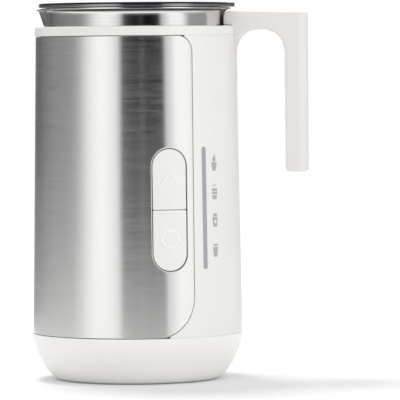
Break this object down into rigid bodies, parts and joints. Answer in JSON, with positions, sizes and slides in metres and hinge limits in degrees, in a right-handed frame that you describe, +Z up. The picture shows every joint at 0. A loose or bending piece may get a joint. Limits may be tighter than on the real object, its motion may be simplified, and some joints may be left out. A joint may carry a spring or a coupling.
{
  "type": "milk frother",
  "caption": "Jug-type milk frother: steel-wrapped round housing with two buttons and a light bar, lift-out steel jug with beak spout and arched handle, flat dark lid, magnetic whisk.",
  "frame": {"origin": "on the housing's axis, level with the undersides of the feet", "axes": "+Z up along the housing's axis, +X towards the handle, -X towards the spout, -Y towards the buttons"},
  "size_m": [0.1573, 0.1194, 0.2129],
  "materials": {
    "white_plastic": "satin, warm white",
    "grey_plastic": "plain grey",
    "black_plastic": "plain black",
    "black_rubber": "matt",
    "brushed_steel": "brushed round the axis",
    "polished_steel": "bright, finely polished",
    "dark_lid": "high gloss, dark violet-black",
    "silicone": "translucent grey",
    "light_lens": "frosted",
    "board": "solder mask",
    "copper": "lacquered wire",
    "plain_steel": "plain"
  },
  "bodies": {
    "housing": {"base_cup": "white_plastic", "bottom_plate": "grey_plastic", "foot_1": "black_rubber", "foot_2": "black_rubber", "foot_3": "black_rubber", "foot_4": "black_rubber", "plate_screw_1": "plain_steel", "plate_screw_2": "plain_steel", "plate_screw_3": "plain_steel", "cord_gland": "black_rubber", "main_board": "board", "power_capacitor": "plain_steel", "power_choke": "copper", "chassis": "grey_plastic", "motor": "plain_steel", "motor_screw_1": "plain_steel", "motor_screw_2": "plain_steel", "coil_former": "black_plastic", "induction_coil": "copper", "temperature_sensor": "plain_steel", "steel_wrap": "brushed_steel", "control_panel": "white_plastic", "top_ring": "white_plastic", "jug_well": "grey_plastic", "button_frame": "black_plastic", "light_bar": "light_lens", "control_board": "board", "program_switch": "black_plastic", "start_switch": "black_plastic", "light_board": "board"},
    "rotor": {"motor_shaft": "plain_steel", "drive_rotor": "black_plastic", "drive_magnet_1": "plain_steel", "drive_magnet_2": "plain_steel"},
    "program_button": {"program_button": "white_plastic"},
    "start_button": {"start_button": "white_plastic"},
    "jug": {"jug": "polished_steel", "whisk_spindle": "plain_steel", "handle": "white_plastic", "handle_bracket": "plain_steel", "handle_screw_1": "plain_steel", "handle_screw_2": "plain_steel"},
    "lid": {"lid": "dark_lid", "lid_seal": "silicone"},
    "whisk_bush": {"whisk_bush": "grey_plastic"},
    "whisk": {"whisk_hub": "black_plastic", "whisk_magnet": "plain_steel", "whisk_coil": "plain_steel"}
  },
  "joints": [
    {"name": "jug_lift", "type": "slide", "parent": "housing", "child": "jug", "axis": [0, 0, 1], "range_m": [0, 0.14]},
    {"name": "lid_lift", "type": "slide", "parent": "jug", "child": "lid", "axis": [0, 0, 1], "range_m": [0, 0.05]},
    {"name": "whisk_lift", "type": "slide", "parent": "jug", "child": "whisk_bush", "axis": [0, 0, 1], "range_m": [0, 0.1]},
    {"name": "whisk_spin", "type": "hinge", "parent": "whisk_bush", "child": "whisk", "pos_m": [0, 0, 0.08], "axis": [0, 0, 1], "continuous": true},
    {"name": "drive_spin", "type": "hinge", "parent": "housing", "child": "rotor", "pos_m": [0, 0, 0.06], "axis": [0, 0, 1], "continuous": true},
    {"name": "program_press", "type": "slide", "parent": "housing", "child": "program_button", "axis": [-0.3239, 0.9461, 0], "range_m": [0, 0.0008], "stiffness_N_per_m": 400},
    {"name": "start_press", "type": "slide", "parent": "housing", "child": "start_button", "axis": [-0.3239, 0.9461, 0], "range_m": [0, 0.0008], "stiffness_N_per_m": 400}
  ],
  "couplings": [
    {"joint": "whisk_spin", "follows": "drive_spin", "ratio": 1}
  ]
}
